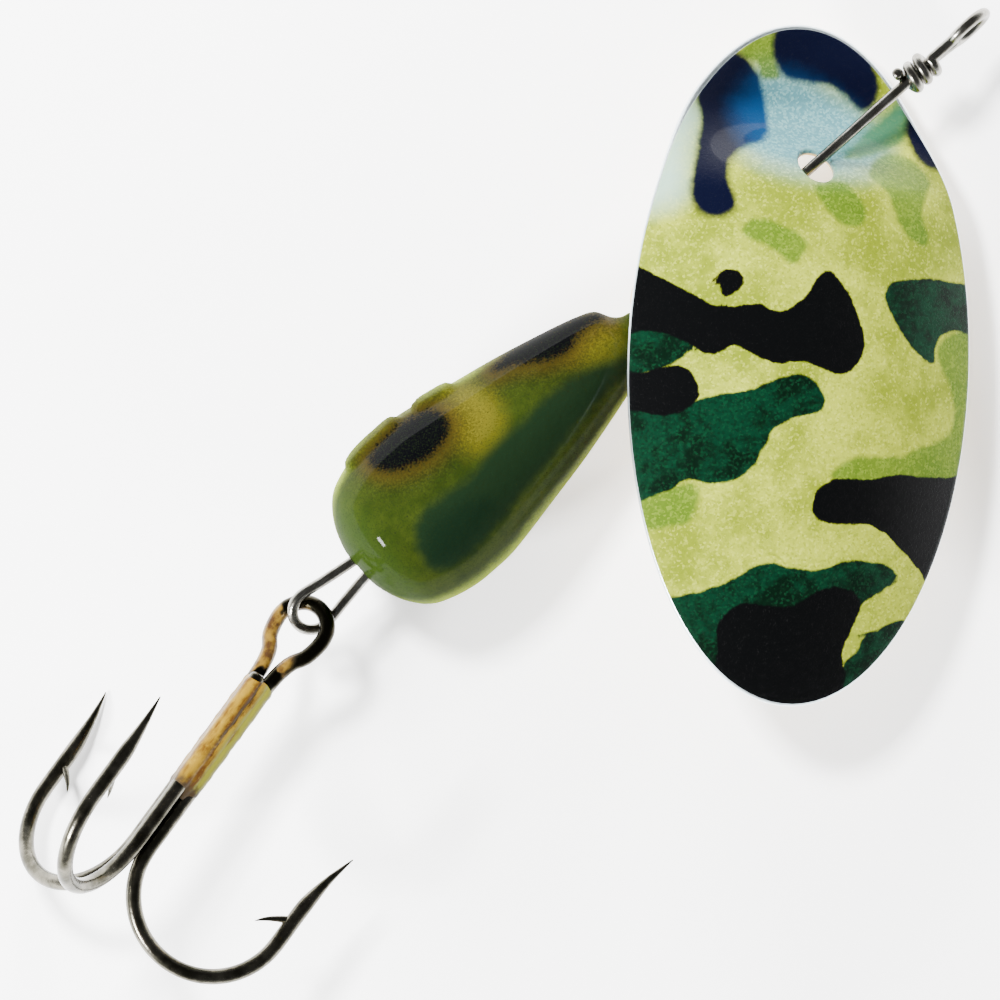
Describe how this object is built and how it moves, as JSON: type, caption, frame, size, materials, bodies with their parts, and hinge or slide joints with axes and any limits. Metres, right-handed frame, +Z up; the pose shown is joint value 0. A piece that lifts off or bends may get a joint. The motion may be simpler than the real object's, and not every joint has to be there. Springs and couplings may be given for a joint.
{
  "type": "inline spinner",
  "caption": "Inline spinner lure: a dished camouflage-painted blade turns on a wire shaft ahead of a weighted drop-shaped body, with a treble hook swinging behind.",
  "frame": {"origin": "middle of the underside of the lure's bounding box, with the lure lying flat", "axes": "+X along the wire shaft towards the line eye, +Z up, away from the surface the lure lies on, +Y to the left of the shaft seen from above"},
  "size_m": [0.0588, 0.0254, 0.0147],
  "materials": {
    "stainless_wire": "gloss",
    "body_paint": "gloss",
    "brass_bead": "gloss",
    "blade_paint": "gloss",
    "hook_wire": "gloss",
    "shank_paint": "gloss"
  },
  "bodies": {
    "wire_and_body": {"shaft_wire": "stainless_wire", "line_eye": "stainless_wire", "eye_wrap": "stainless_wire", "hook_loop": "stainless_wire", "weighted_body": "body_paint"},
    "bearing_bead": {"bearing_bead": "brass_bead"},
    "thrust_bead": {"thrust_bead": "brass_bead"},
    "blade": {"blade": "blade_paint"},
    "treble_hook": {"double_hook": "hook_wire", "single_hook": "hook_wire", "hook_braze": "shank_paint"}
  },
  "joints": [
    {"name": "blade_spin", "type": "hinge", "parent": "wire_and_body", "child": "bearing_bead", "pos_m": [0.00959, 0.00618, 0.00507], "axis": [1, 0, 0], "continuous": true},
    {"name": "blade_slide", "type": "slide", "parent": "bearing_bead", "child": "thrust_bead", "axis": [1, 0, 0], "range_m": [0, 0.0042]},
    {"name": "blade_flare", "type": "hinge", "parent": "thrust_bead", "child": "blade", "pos_m": [0.01875, 0.00603, 0.00515], "axis": [0, 1, 0], "range_deg": [0, 60]},
    {"name": "hook_swing", "type": "hinge", "parent": "wire_and_body", "child": "treble_hook", "pos_m": [-0.01166, 0.00618, 0.00507], "axis": [0, -0.5, 0.866], "range_deg": [-90, 90]}
  ]
}
